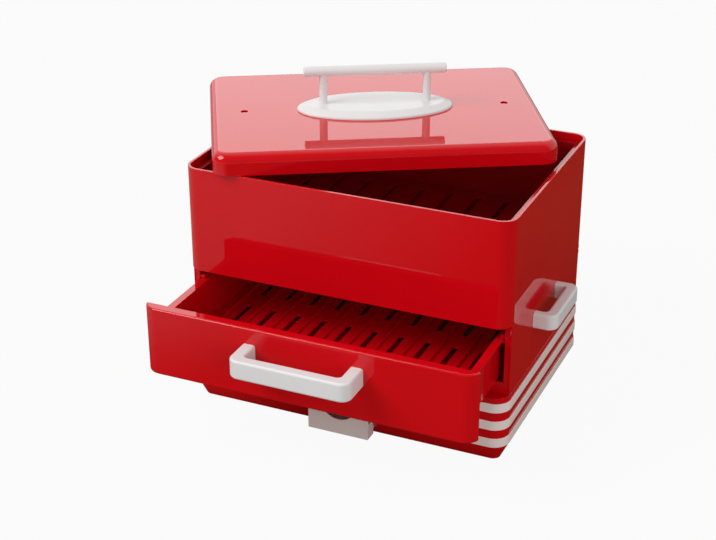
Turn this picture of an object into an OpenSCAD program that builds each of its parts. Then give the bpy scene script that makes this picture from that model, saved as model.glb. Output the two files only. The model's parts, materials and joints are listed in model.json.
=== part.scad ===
// Two-tier countertop steamer: a base with a water tank and heater, a housing with a pull-out drawer,
// a lift-out upper tray and a loose lid.
// Millimetres, +Z up, front towards -Y, origin on the table under the middle of the housing.

/* [Housing] */
// Outer width of the housing
body_w = 328; // [318:1:340]
// Outer depth of the housing
body_d = 234; // [225:1:245]
// Height of the housing from the deck to the rim
housing_h = 178; // [174:1:200]
// Corner radius of the housing in plan
corner_r = 15; // [14:0.5:18]
// Wall thickness of the housing and the base
wall = 2.5; // [2.2:0.1:3]
// Height of the drawer opening above the deck
opening_h = 72; // [70:1:76]
// Height of the sill under the drawer tub
sill_h = 12; // [11:0.5:14]
// Width of the jambs beside the drawer
jamb_w = 6.8; // [5:0.1:8]
// Drop from the rim to the upper tray's flange
rim_drop = 7.5; // [5:0.5:10]
// Width of the ledge that carries the upper tray
ledge_w = 5; // [4:0.5:7]
// Thickness of the runners beside the drawer
rail_t = 3; // [2:0.1:4]
// Outer diameter of the screw bosses
boss_d = 10; // [8:0.5:11]
// Height of the bosses that hold the housing to the deck
boss_h = 9; // [8:0.5:10]

/* [Base] */
// Height of the base from its lower edge to the deck
base_h = 69.5; // [68:0.5:78]
// How far the base stands out past the housing
base_proud = 0.5; // [0.3:0.1:2]
// Thickness of the deck
deck_t = 2.5; // [2:0.1:4]
// Height of the sloping plinth
plinth_h = 16.5; // [13:0.5:17]
// How far the plinth draws in at its lower edge
plinth_in = 8; // [6:0.5:10]
// Thickness of the bottom cover
cover_t = 2.5; // [2:0.1:4]
// Height of the feet
foot_h = 2.5; // [2.5:0.1:6]
// Diameter of a foot
foot_d = 18; // [14:1:24]
// Distance of the feet from the sides of the housing
foot_in = 46; // [44:1:60]
// Distance of the cover's screws from the sides of the housing
cover_screw_in = 27; // [25:1:30]
// Diameter of the drain hole in the deck
drain_d = 8; // [6:0.5:10]
// Distance of the drain behind the front of the housing
drain_in = 27; // [22:1:32]

/* [Trim bands] */
// Height of a band
band_h = 9.5; // [8:0.1:10]
// Distance from one band to the next
band_pitch = 18.6; // [18:0.1:19.2]
// Drop from the deck to the top band
band_drop = 5.5; // [3:0.5:6]
// How far a band stands out from the base
band_proud = 0.8; // [0.6:0.1:2]
// Edge radius of a band
band_edge = 0.6; // [0.4:0.1:2]

/* [Drawer] */
// How far the drawer stands open
drawer_out = 86; // [20:1:100]
// Thickness of the drawer front
front_t = 10; // [8:0.5:12]
// How far the drawer front stands out past the sides of the housing
front_side = 2; // [0:0.5:4]
// Gap between the drawer front and the deck
front_lift = 1.5; // [1:0.1:4]
// Gap between the closed drawer front and the housing
front_gap = 1.2; // [0.6:0.1:1.5]
// Drop from the top of the drawer front to the tub's rim
tub_drop = 13; // [8:0.5:14]
// Wall thickness of the tub
tub_wall = 2.5; // [2:0.1:3]
// Width of the tub's rim
tub_rim_w = 7.5; // [6:0.1:8.5]
// Thickness of the tub's rim
tub_rim_t = 2; // [1.5:0.1:3]
// Gap between the tub's rim and the jambs
tub_gap = 1.3; // [1:0.1:2]
// Gap between the tub and the back of the housing
tub_back = 6; // [5:0.5:12]
// Gap between the tub and the sill
tub_lift = 1.5; // [1:0.1:3]
// Corner radius of the tub's rim
tub_r = 10; // [10:0.5:12]
// Distance from one lane to the next
lane_pitch = 27.5; // [25:0.5:28]
// Radius of the ridges between the lanes
ridge_r = 2.2; // [1.5:0.1:2.4]
// Length of a steam slot in the drawer
lane_slot_l = 46; // [30:1:50]
// Width of the steam slots
slot_w = 6; // [4:0.5:7]

/* [Handles] */
// Span of the drawer handle
pull_span = 119; // [100:1:140]
// Reach of the drawer handle
pull_reach = 33; // [28:0.5:36]
// Width of the drawer handle's legs
pull_leg = 12.5; // [10:0.5:14]
// Height of the drawer handle's section
pull_h = 19; // [14:0.5:21]
// Height of the drawer handle's middle above the deck
pull_z = 45.75; // [40:0.25:48]
// Span of the side handles
grip_span = 77; // [70:1:100]
// Reach of the side handles
grip_reach = 22.5; // [20:0.5:30]
// Width of the side handles' legs
grip_leg = 9; // [8:0.5:11]
// Height of the side handles' section
grip_h = 16; // [12:0.5:18]
// Height of the side handles' middle above the deck
grip_z = 47.25; // [40:0.25:48]
// How far the side handles sit in front of the housing's middle
grip_fore = 4; // [0:0.5:8]
// Thickness of a handle's bar
handle_bar = 11.5; // [8:0.5:13]
// Outer corner radius of a handle
handle_r = 10; // [5:0.5:12]
// Inner corner radius of a handle
handle_in_r = 4; // [2:0.5:5]

/* [Upper tray] */
// Depth of the upper tray
tray_depth = 70; // [60:1:80]
// Wall thickness of the upper tray
tray_wall = 2; // [1.5:0.1:3]
// Thickness of the tray's flange
tray_flange_t = 2; // [1.5:0.1:3]
// Gap round the tray
tray_gap = 0.5; // [0.4:0.1:0.8]
// Length of the finger notches in the flange
notch_l = 76; // [50:1:90]
// Steam slots across the tray
tray_slot_n = 9; // [6:1:9]
// Distance from one steam slot to the next across the tray
tray_slot_pitch = 30; // [26:1:31]
// Length of a steam slot in the tray
tray_slot_l = 44; // [30:1:48]

/* [Lid] */
// Height of the lid
lid_h = 21; // [18:0.5:35]
// Wall thickness of the lid
lid_wall = 2.5; // [2:0.1:3]
// Corner radius of the lid in plan
lid_r = 16; // [13:0.5:18]
// Radius of the lid's upper edge
lid_edge = 9; // [4:0.5:11]
// How far the lid stays inside the outline of the housing
lid_in = 0.5; // [0:0.1:2]
// Place of the lid's middle across the housing
lid_x = -39; // [-42:0.5:0]
// Place of the lid's middle along the housing
lid_y = 52.5; // [0:0.5:56]
// Turn of the lid
lid_yaw = 29.2; // [0:0.1:30]
// Diameter of the steam vents
vent_d = 7.5; // [5:0.5:10]
// Distance of the steam vents from the lid's middle
vent_x = 130; // [100:0.5:138]

/* [Lid handle] */
// Length of the oval plate
plate_l = 155; // [130:1:170]
// Width of the oval plate
plate_w = 75; // [60:1:90]
// Thickness of the oval plate
plate_t = 6; // [4:0.5:8]
// Width of the plate's bevel
plate_bevel = 9; // [4:0.5:10]
// Distance between the posts
post_gap = 103; // [80:1:105]
// Diameter of a post
post_d = 8; // [7:0.5:9]
// Height from the plate to the middle of the bar
post_h = 33; // [26:0.5:40]
// Diameter of the bar
rod_d = 10; // [9.5:0.5:13]
// Length of the bar
rod_l = 141; // [120:1:160]

/* [Drip tray] */
// Width of the drip tray
drip_w = 63; // [50:1:80]
// How far the drip tray stands out of the base
drip_out = 10.5; // [8:0.5:14]
// How far the drip tray reaches into the base
drip_in = 52; // [45:1:56]
// Wall thickness of the drip tray
drip_wall = 2; // [1.5:0.1:3]
// Gap round the drip tray in its window
drip_gap = 1; // [0.6:0.1:1.2]
// Height of the drip tray's front
tab_h = 20.5; // [18:0.5:24]
// How far the drip tray's front hangs below its floor
tab_drop = 6; // [3:0.5:6.5]
// Radius of the finger scoop
scoop_r = 19.5; // [18:0.5:26]
// Depth of the finger scoop
scoop_depth = 5; // [4:0.5:9]
// Height of the skids under the drip tray
skid_h = 3.7; // [2.5:0.1:4.5]
// Height of the fences beside the drip tray
fence_h = 16; // [8:0.5:20]

/* [Tank and heater] */
// Length of the water tank
tank_l = 210; // [180:1:230]
// Width of the water tank
tank_w = 120; // [110:1:125]
// Depth of the water tank
tank_depth = 34; // [28:0.5:35]
// Wall thickness of the water tank
tank_t = 1.2; // [1:0.1:2]
// Width of the tank's flange
tank_flange = 8; // [6:0.5:10]
// Corner radius of the water tank
tank_r = 14; // [10:0.5:20]
// Distance of the tank's middle behind the housing's middle
tank_y = 15; // [10:1:18]
// Length of the heater plate
heat_l = 150; // [145:1:160]
// Width of the heater plate
heat_w = 84; // [80:1:100]
// Thickness of the heater plate
heat_t = 4; // [3:0.5:6]
// Diameter of the heating element
element_d = 6.5; // [5:0.5:7]
// Bend radius of the heating element
element_bend = 28; // [26:0.5:30]
// Straight run of the heating element
element_run = 96; // [80:1:100]
// Diameter of the thermostat
stat_d = 17; // [14:0.5:19]
// Height of the thermostat
stat_h = 8; // [6:0.5:9]
// Distance of the thermostat from the tank's middle
stat_x = 34; // [28:1:40]
// Diameter of the thermal fuse
fuse_d = 4.6; // [4:0.1:6]
// Length of the thermal fuse
fuse_l = 18; // [14:1:22]
// Distance of the thermal fuse from the tank's middle
fuse_x = 14; // [12:1:18]

/* [Cord inlet] */
// Distance of the cord inlet from the middle
gland_x = 100; // [80:1:110]
// Diameter of the inlet's collar
gland_d = 24; // [20:0.5:25]
// Thickness of the inlet's collar
gland_t = 3; // [2:0.5:4]
// Diameter of the inlet's neck
gland_neck_d = 14; // [12:0.5:16]
// Length of the inlet's neck behind the wall
gland_neck_l = 10; // [8:0.5:14]
// Bore of the inlet
gland_bore = 7.2; // [6:0.1:9]
// Length of the terminal block
block_l = 34; // [26:1:40]
// Width of the terminal block
block_w = 18; // [14:1:20]
// Height of the terminal block
block_h = 16; // [12:1:20]
// Diameter of the terminal block's wire holes
block_hole_d = 5; // [3:0.5:6]

/* [Screws] */
// Diameter of a screw's shank
screw_d = 3.6; // [3:0.1:4]
// Diameter of a screw's head
head_d = 7; // [6:0.1:7.5]
// Height of a screw's head
head_h = 2.2; // [1.5:0.1:2.4]
// Length of thread in the piece that a screw holds
bite = 7; // [5:0.5:8]

/* [Hidden] */
$fn = 64;

// Colours of the materials
red = [0.78, 0.03, 0.05];
dark_red = [0.55, 0.02, 0.03];
white = [0.94, 0.93, 0.91];
aluminium = [0.80, 0.81, 0.82];
steel = [0.62, 0.63, 0.65];
black = [0.08, 0.08, 0.08];
cream = [0.85, 0.80, 0.68];

// Clearances: between faces of one body, between faces that slide, and the overshoot of a cut
fit = 0.1;
run_gap = 0.3;
cut = 1;

// Heights
base_z = foot_h;
cover_z = base_z + cover_t;
deck_z = base_z + base_h;
opening_z = deck_z + opening_h;
rim_z = deck_z + housing_h;
front_z = deck_z + front_lift;
front_top = opening_z - front_gap;
pull_mid = deck_z + pull_z;
grip_mid = deck_z + grip_z;

// Plan of the base and the housing
base_w = body_w + 2 * base_proud;
base_d = body_d + 2 * base_proud;
base_r = corner_r + base_proud;
inner_w = body_w - 2 * wall;
inner_d = body_d - 2 * wall;
inner_r = corner_r - wall;
frame_in = front_t + front_gap;
recess_y = -body_d / 2 + frame_in;
front_w = body_w + 2 * front_side;
opening_w = body_w - 2 * jamb_w;

// Drawer tub, with the drawer closed
tub_top = front_top - tub_drop;
tub_z = deck_z + sill_h + tub_lift;
tub_front = -body_d / 2 + front_t;
tub_rear = body_d / 2 - wall - tub_back;
tub_rim_half = opening_w / 2 - tub_gap;
tub_half = tub_rim_half - tub_rim_w + tub_wall;
tub_lip = tub_rim_half - tub_half;
tub_in_w = 2 * (tub_half - tub_wall);
lane_n = floor(tub_in_w / lane_pitch);
pull_screw_x = (pull_span - pull_leg) / 2;
grip_screw_y = [for (y = [-1, 1]) y * (grip_span - grip_leg) / 2 - grip_fore];

// Upper tray
tray_top = rim_z - rim_drop;
flange_z = tray_top - tray_flange_t;
seat_z = flange_z - run_gap;
ledge_in_w = inner_w - 2 * ledge_w;
ledge_in_d = inner_d - 2 * ledge_w;
ledge_in_r = inner_r - ledge_w;
tray_w = ledge_in_w - 2 * tray_gap;
tray_d = ledge_in_d - 2 * tray_gap;
tray_r = ledge_in_r - tray_gap;

// Lid in its own frame, with its lower edge at height 0
lid_w = body_w - 2 * lid_in;
lid_d = body_d - 2 * lid_in;
rod_z = lid_h + plate_t + post_h;

// Bands, counted from the top
function band_z(i) = deck_z - band_drop - i * band_pitch - band_h;
band_out = band_proud + fit;
band_round = min(band_edge, band_proud);

// Drip tray, which passes below the lowest band, and its window
drip_z = cover_z + skid_h + run_gap;
drip_top = band_z(2) - 2 * drip_gap;
drip_h = drip_top - drip_z;
drip_front = -base_d / 2 - drip_out;
drip_rear = -base_d / 2 + drip_in;
window_w = drip_w + 2 * drip_gap;

// Bottom cover
cover_in = plinth_in + wall + run_gap;
cover_w = base_w - 2 * cover_in;
cover_d = base_d - 2 * cover_in;
cover_r = base_r - cover_in;

// Tank and heater
tank_z = deck_z - tank_depth;
heat_z = tank_z - heat_t;
element_z = heat_z - fit - element_d / 2;
gland_z = band_z(1) + band_h / 2;
gland_gap = 2 * drip_gap;

// Places of the screws
housing_boss_x = body_w / 2 - wall - boss_d / 2 + cut;
housing_boss_y = [recess_y + wall + boss_d, body_d / 2 - corner_r - boss_d / 2];
cover_screw_x = body_w / 2 - cover_screw_in - cut;
cover_screw_y = body_d / 2 - cover_screw_in;
bore_d = screw_d + 2 * fit;

// Points of an arc, from angle a to angle b
arc_steps = 6;
function arc(x, y, r, a, b) =
    [for (i = [0:arc_steps]) let (t = a + (b - a) * i / arc_steps) [x + r * cos(t), y + r * sin(t)]];

// Rounded rectangle in plan
module rounded(w, d, r) {
    square([w - 2 * r, d], center = true);
    square([w, d - 2 * r], center = true);
    for (x = [-1, 1], y = [-1, 1])
        translate([x * (w / 2 - r), y * (d / 2 - r)])
            circle(r);
}

// Plate with a rounded plan, standing on height z
module slab(w, d, r, z, h) {
    translate([0, 0, z])
        linear_extrude(h)
            rounded(w, d, r);
}

// Carries a profile round a rounded rectangle; the profile's x runs outwards from the outer face
module swept(w, d, r) {
    for (i = [0:3]) {
        reach = (i % 2 == 0 ? w : d) / 2;
        half = (i % 2 == 0 ? d : w) / 2 - r;
        rotate(90 * i) {
            translate([reach, half, 0])
                rotate([90, 0, 0])
                    linear_extrude(2 * half)
                        children();
            translate([reach - r, half, 0])
                rotate_extrude(angle = 90)
                    translate([r, 0])
                        children();
        }
    }
}

// Slot with round ends along Y
module slot(l, w, z, h) {
    translate([0, 0, z])
        linear_extrude(h) {
            square([w, l - w], center = true);
            for (y = [-1, 1])
                translate([0, y * (l - w) / 2])
                    circle(d = w);
        }
}

// Screw along +Z, with its head under height 0
module screw(l) {
    cylinder(d = screw_d, h = l);
    translate([0, 0, -head_h])
        cylinder(d = head_d, h = head_h);
}

// Plan of a bracket from y = 0 to y = -l, with its far corners rounded
module bracket_plan(w, l, r) {
    translate([-w / 2, -(l - r)])
        square([w, l - r]);
    translate([-(w / 2 - r), -l])
        square([w - 2 * r, l]);
    for (x = [-1, 1])
        translate([x * (w / 2 - r), -(l - r)])
            circle(r);
}

// Bracket handle that stands out towards -Y from y = 0, with its middle at height 0
module bracket(span, reach, leg, h) {
    color(white)
        difference() {
            translate([0, 0, -h / 2])
                linear_extrude(h)
                    difference() {
                        bracket_plan(span, reach, handle_r);
                        translate([0, cut])
                            bracket_plan(span - 2 * leg, reach - handle_bar + cut, handle_in_r);
                    }
            for (x = [-1, 1])
                translate([x * (span - leg) / 2, cut, 0])
                    rotate([90, 0, 0])
                        cylinder(d = bore_d, h = bite + cut + fit);
        }
}

// Moves the drawer's pieces from closed to the open place
module drawn() {
    translate([0, -drawer_out, 0])
        children();
}

// Lays the lid's pieces askew on the rim
module laid() {
    translate([lid_x, lid_y, rim_z + run_gap])
        rotate(lid_yaw)
            children();
}

// Cuts for the fingers at both sides, from x outwards to the housing's inner face
module finger_notches(x, z, h) {
    for (side = [-1, 1])
        translate([side * (x + inner_w / 2) / 2, 0, z + h / 2])
            cube([inner_w / 2 - x, notch_l, h + 2 * cut], center = true);
}

// Places of the four screws that hold the housing to the deck
module at_housing_bosses() {
    for (x = [-1, 1], y = housing_boss_y)
        translate([x * housing_boss_x, y, 0])
            children();
}

// Places of the four screws that hold the bottom cover
module at_cover_screws() {
    for (x = [-1, 1], y = [-1, 1])
        translate([x * cover_screw_x, y * cover_screw_y, 0])
            children();
}

// Base: wall with a sloping plinth, deck, screw posts and drain spout
module base_shell() {
    plinth_z = base_z + plinth_h;
    wall_profile = [
        [-plinth_in, base_z], [0, plinth_z], [0, deck_z], [-wall, deck_z], [-wall, plinth_z],
        [-plinth_in - wall, base_z + wall], [-plinth_in - wall, base_z]];
    spout_d = drain_d + 2 * wall;
    spout_z = drip_top + 2 * drip_gap;
    color(red)
        difference() {
            union() {
                swept(base_w, base_d, base_r)
                    polygon(wall_profile);
                slab(base_w - wall, base_d - wall, base_r - wall / 2, deck_z - deck_t, deck_t);
                at_cover_screws()
                    translate([0, 0, cover_z])
                        cylinder(d = boss_d, h = deck_z - deck_t / 2 - cover_z);
                translate([0, -body_d / 2 + drain_in, spout_z])
                    cylinder(d = spout_d, h = deck_z - deck_t / 2 - spout_z);
            }
            translate([0, tank_y, 0])
                slab(tank_l + 2 * run_gap, tank_w + 2 * run_gap, tank_r + run_gap, deck_z - deck_t - cut,
                     deck_t + 2 * cut);
            translate([0, -body_d / 2 + drain_in, spout_z - cut])
                cylinder(d = drain_d, h = deck_z - spout_z + 2 * cut);
            translate([-window_w / 2, -base_d / 2 - cut, drip_z - drip_gap])
                cube([window_w, cover_in + 2 * cut, drip_h + 2 * drip_gap]);
            at_cover_screws()
                translate([0, 0, cover_z - cut])
                    cylinder(d = bore_d, h = bite + cut + fit);
            at_housing_bosses()
                translate([0, 0, deck_z - deck_t - cut])
                    cylinder(d = bore_d, h = deck_t + 2 * cut);
            translate([-gland_x, base_d / 2 + cut, gland_z])
                rotate([90, 0, 0])
                    cylinder(d = gland_neck_d + 2 * fit, h = wall + 2 * cut);
        }
}

// Bottom cover with skids and fences for the drip tray
module bottom_cover() {
    fence_l = drip_in - cover_in - wall;
    color(dark_red)
        difference() {
            union() {
                slab(cover_w, cover_d, cover_r, base_z, cover_t);
                for (x = [-1, 1]) {
                    translate([x * drip_w / 4 - wall / 2, drip_rear - fence_l, base_z])
                        cube([wall, fence_l, cover_t + skid_h]);
                    translate([x * (window_w + wall) / 2 - wall / 2, drip_rear - fence_l, base_z])
                        cube([wall, fence_l + drip_gap, cover_t + fence_h]);
                }
                translate([-window_w / 2 - wall, drip_rear + drip_gap, base_z])
                    cube([window_w + 2 * wall, wall, cover_t + fence_h]);
            }
            at_cover_screws()
                translate([0, 0, base_z - cut])
                    cylinder(d = bore_d, h = cover_t + 2 * cut);
        }
}

module rubber_feet() {
    color(black)
        for (x = [-1, 1], y = [-1, 1])
            translate([x * (body_w / 2 - foot_in), y * (body_d / 2 - foot_in), 0])
                cylinder(d = foot_d, h = foot_h);
}

// Band round the base, counted from the top
module trim_band(i) {
    grow = 2 * band_out;
    profile = concat(
        [[-band_proud, 0]],
        arc(-band_round, band_round, band_round, -90, 0),
        arc(-band_round, band_h - band_round, band_round, 0, 90),
        [[-band_proud, band_h]]);
    color(white)
        translate([0, 0, band_z(i)])
            swept(base_w + grow, base_d + grow, base_r + band_out)
                polygon(profile);
}

module trim_band_upper() {
    trim_band(0);
}

module trim_band_middle() {
    difference() {
        trim_band(1);
        translate([-gland_x - (gland_d + gland_gap) / 2, base_d / 2 - 2 * band_out, band_z(1) - cut])
            cube([gland_d + gland_gap, 4 * band_out, band_h + 2 * cut]);
    }
}

module trim_band_lower() {
    trim_band(2);
}

// Plan of the housing between two depths behind its front, inside its outer face
module front_slice(near, far) {
    intersection() {
        rounded(body_w - wall, body_d - wall, corner_r - wall / 2);
        translate([-body_w / 2, -body_d / 2 + near])
            square([body_w, far - near]);
    }
}

// Runner that carries the tub's rim along one side
module runner(side) {
    rail_in = tub_half + tub_gap;
    rail_l = tub_rear - recess_y;
    for (z = [tub_top - tub_rim_t - run_gap - rail_t, tub_top + run_gap])
        translate([side > 0 ? rail_in : -body_w / 2 + wall / 2, recess_y + wall / 2, z])
            cube([body_w / 2 - wall / 2 - rail_in, rail_l, rail_t]);
}

// Housing: shell, recessed frame round the drawer, soffit, tray ledge, runners and bosses
module housing() {
    color(red)
        difference() {
            union() {
                difference() {
                    slab(body_w, body_d, corner_r, deck_z, housing_h);
                    slab(inner_w, inner_d, inner_r, deck_z - cut, housing_h + 2 * cut);
                }
                difference() {
                    slab(body_w - wall, body_d - wall, corner_r - wall / 2, seat_z - wall, wall);
                    slab(ledge_in_w, ledge_in_d, ledge_in_r, seat_z - wall - cut, wall + 2 * cut);
                }
                translate([0, 0, opening_z])
                    linear_extrude(wall)
                        front_slice(0, frame_in + wall);
                translate([0, 0, deck_z])
                    linear_extrude(opening_h + wall)
                        front_slice(frame_in, frame_in + wall);
                for (side = [-1, 1])
                    runner(side);
                at_housing_bosses()
                    translate([0, 0, deck_z])
                        cylinder(d = boss_d, h = boss_h);
            }
            translate([-body_w / 2 - cut, -body_d / 2 - cut, deck_z - cut])
                cube([body_w + 2 * cut, recess_y + body_d / 2 + cut, opening_h + cut]);
            translate([-opening_w / 2, recess_y - cut, deck_z + sill_h])
                cube([opening_w, wall + 2 * cut, opening_h - sill_h]);
            finger_notches(inner_w / 2 - ledge_w, seat_z - wall, wall);
            at_housing_bosses()
                translate([0, 0, deck_z - cut])
                    cylinder(d = bore_d, h = bite + cut + fit);
            for (side = [-1, 1], y = grip_screw_y)
                translate([side * body_w / 2, y, grip_mid])
                    rotate([0, 90, 0])
                        cylinder(d = bore_d, h = 4 * wall, center = true);
        }
}

module water_tank() {
    flange_w = 2 * tank_flange;
    color(aluminium)
        translate([0, tank_y, 0])
            difference() {
                union() {
                    slab(tank_l + flange_w, tank_w + flange_w, tank_r + tank_flange, deck_z, tank_t);
                    slab(tank_l, tank_w, tank_r, tank_z, tank_depth);
                }
                slab(tank_l - 2 * tank_t, tank_w - 2 * tank_t, tank_r - tank_t, tank_z + tank_t,
                     tank_depth + cut);
            }
}

module heater_plate() {
    color(aluminium)
        translate([0, tank_y, 0])
            slab(heat_l, heat_w, tank_r, heat_z, heat_t);
}

// Tube bent to a U, with a thin pin at each end
module heating_element() {
    pin_d = element_d / 2;
    pin_l = 2 * element_d;
    color(steel)
        translate([-element_run / 2, tank_y, element_z]) {
            for (y = [-1, 1])
                translate([0, y * element_bend, 0])
                    rotate([0, 90, 0]) {
                        cylinder(d = element_d, h = element_run);
                        translate([0, 0, element_run])
                            cylinder(d = pin_d, h = pin_l);
                    }
            rotate(90)
                rotate_extrude(angle = 180)
                    translate([element_bend, 0])
                        circle(d = element_d);
        }
}

// Disc thermostat under the heater plate, with two blade terminals
module thermostat() {
    blade_w = stat_d / 3;
    blade_t = stat_h / 10;
    blade_h = stat_h;
    color(black)
        translate([-stat_x, tank_y, heat_z - stat_h]) {
            cylinder(d = stat_d, h = stat_h);
            for (y = [-1, 1])
                translate([-blade_w / 2, y * stat_d / 4 - blade_t / 2, -blade_h])
                    cube([blade_w, blade_t, blade_h + blade_t]);
        }
}

// Thermal fuse against the heater plate, with a lead at each end
module thermal_fuse() {
    lead_d = fuse_d / 4;
    color(steel)
        translate([fuse_x, tank_y, heat_z - fit - fuse_d / 2])
            rotate([0, 90, 0]) {
                cylinder(d = fuse_d, h = fuse_l);
                translate([0, 0, -fuse_l / 2])
                    cylinder(d = lead_d, h = 2 * fuse_l);
            }
}

module terminal_block() {
    block_y = base_d / 2 - wall - gland_neck_l - block_w - cut;
    hole_n = 3;
    color(cream)
        translate([-gland_x + gland_d, block_y, cover_z])
            difference() {
                cube([block_l, block_w, block_h]);
                for (i = [1:hole_n])
                    translate([i * block_l / (hole_n + 1), -cut, block_h / 2])
                        rotate([-90, 0, 0])
                            cylinder(d = block_hole_d, h = block_w + 2 * cut);
            }
}

// Inlet for the cord: collar outside the wall and neck through it
module cord_gland() {
    neck_l = wall + gland_neck_l;
    color(black)
        translate([-gland_x, base_d / 2, gland_z])
            rotate([90, 0, 0])
                difference() {
                    union() {
                        translate([0, 0, -gland_t])
                            cylinder(d = gland_d, h = gland_t);
                        cylinder(d = gland_neck_d, h = neck_l);
                    }
                    translate([0, 0, -gland_t - cut])
                        cylinder(d = gland_bore, h = gland_t + neck_l + 2 * cut);
                }
}

module bottom_screws() {
    color(steel)
        at_cover_screws()
            translate([0, 0, base_z])
                screw(cover_t + bite);
}

module housing_screws() {
    color(steel)
        at_housing_bosses()
            translate([0, 0, deck_z - deck_t])
                screw(deck_t + bite);
}

module side_handle_left() {
    translate([-body_w / 2, -grip_fore, grip_mid])
        rotate(-90)
            bracket(grip_span, grip_reach, grip_leg, grip_h);
}

module side_handle_right() {
    translate([body_w / 2, -grip_fore, grip_mid])
        rotate(90)
            bracket(grip_span, grip_reach, grip_leg, grip_h);
}

module side_handle_screws() {
    color(steel)
        for (side = [-1, 1], y = grip_screw_y)
            translate([side * inner_w / 2, y, grip_mid])
                rotate([0, side * 90, 0])
                    screw(wall + bite);
}

// Drawer front: slab with the housing's rounded corners that closes the opening
module drawer_front() {
    color(red)
        drawn()
            difference() {
                translate([0, 0, front_z])
                    linear_extrude(front_top - front_z)
                        intersection() {
                            rounded(front_w, body_d, corner_r);
                            translate([-front_w / 2, -body_d / 2])
                                square([front_w, front_t]);
                        }
                for (x = [-1, 1])
                    translate([x * pull_screw_x, tub_front, pull_mid])
                        rotate([90, 0, 0])
                            cylinder(d = bore_d, h = 4 * front_t, center = true);
            }
}

// Drawer tub: slotted and ridged floor, walls and the rim that runs on the runners
module drawer_tub() {
    rim_front = tub_front + tub_gap;
    rim_d = tub_rear - rim_front;
    tub_d = tub_rear - tub_front - tub_lip;
    tub_h = tub_top - tub_z;
    wall_r = tub_r - tub_lip;
    in_d = tub_d - 2 * tub_wall;
    floor_z = tub_z + tub_wall;
    row_n = 3;
    row_pitch = in_d / row_n;
    color(red)
        drawn()
            difference() {
                union() {
                    difference() {
                        union() {
                            translate([0, rim_front + rim_d / 2, 0])
                                slab(2 * tub_rim_half, rim_d, tub_r, tub_top - tub_rim_t, tub_rim_t);
                            translate([0, tub_front + tub_d / 2, 0])
                                slab(2 * tub_half, tub_d, wall_r, tub_z, tub_h);
                        }
                        translate([0, tub_front + tub_d / 2, 0])
                            slab(tub_in_w, in_d, wall_r - tub_wall, floor_z, tub_h);
                    }
                    for (i = [0:lane_n])
                        translate([(i - lane_n / 2) * lane_pitch, tub_front + tub_wall / 2, floor_z])
                            rotate([-90, 0, 0])
                                cylinder(r = ridge_r, h = tub_d - tub_wall);
                }
                for (i = [0:lane_n - 1], j = [0:row_n - 1])
                    translate([(i - (lane_n - 1) / 2) * lane_pitch,
                               tub_front + tub_d / 2 + (j - (row_n - 1) / 2) * row_pitch, 0])
                        slot(lane_slot_l, slot_w, tub_z - cut, tub_wall + 2 * cut);
                for (x = [-1, 1])
                    translate([x * pull_screw_x, tub_front, pull_mid])
                        rotate([90, 0, 0])
                            cylinder(d = bore_d, h = 4 * tub_wall, center = true);
            }
}

module drawer_handle() {
    drawn()
        translate([0, -body_d / 2, pull_mid])
            bracket(pull_span, pull_reach, pull_leg, pull_h);
}

module drawer_handle_screws() {
    color(steel)
        drawn()
            for (x = [-1, 1])
                translate([x * pull_screw_x, tub_front + tub_wall, pull_mid])
                    rotate([90, 0, 0])
                        screw(tub_wall + front_t + bite);
}

// Drip tray: open box with a taller front, a skirt before the plinth and a finger scoop
module drip_tray() {
    drip_l = drip_rear - drip_front;
    tab_z = drip_z - tab_drop;
    skirt_l = drip_out - drip_gap + plinth_in * (base_z + plinth_h - drip_z) / plinth_h;
    color(white)
        difference() {
            translate([-drip_w / 2, drip_front, 0]) {
                translate([0, 0, drip_z])
                    cube([drip_w, drip_l, drip_h]);
                translate([0, 0, tab_z])
                    cube([drip_w, skirt_l, tab_drop + drip_wall]);
                translate([0, 0, tab_z])
                    cube([drip_w, drip_wall, tab_h]);
            }
            translate([-drip_w / 2 + drip_wall, drip_front + drip_wall, 0]) {
                translate([0, 0, drip_z + drip_wall])
                    cube([drip_w - 2 * drip_wall, drip_l - 2 * drip_wall, drip_h]);
                translate([0, 0, tab_z - cut])
                    cube([drip_w - 2 * drip_wall, skirt_l, tab_drop + cut]);
            }
            translate([0, drip_front + drip_wall + cut, tab_z + tab_h - scoop_depth + scoop_r])
                rotate([90, 0, 0])
                    cylinder(r = scoop_r, h = drip_wall + 2 * cut);
        }
}

// Upper tray: slotted floor, walls and a flange with finger notches
module upper_tray() {
    flange_w = inner_w - 2 * tray_gap;
    flange_d = inner_d - 2 * tray_gap;
    tray_z = tray_top - tray_depth;
    row_n = 3;
    row_pitch = (tray_d - 2 * tray_wall) / row_n;
    color(dark_red)
        difference() {
            union() {
                slab(flange_w, flange_d, inner_r - tray_gap, flange_z, tray_flange_t);
                slab(tray_w, tray_d, tray_r, tray_z, tray_depth);
            }
            slab(tray_w - 2 * tray_wall, tray_d - 2 * tray_wall, tray_r - tray_wall, tray_z + tray_wall,
                 tray_depth);
            for (i = [0:tray_slot_n - 1], j = [0:row_n - 1])
                translate([(i - (tray_slot_n - 1) / 2) * tray_slot_pitch,
                           (j - (row_n - 1) / 2) * row_pitch, 0])
                    slot(tray_slot_l, slot_w, tray_z - cut, tray_wall + 2 * cut);
            finger_notches(tray_w / 2, flange_z, tray_flange_t);
        }
}

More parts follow.
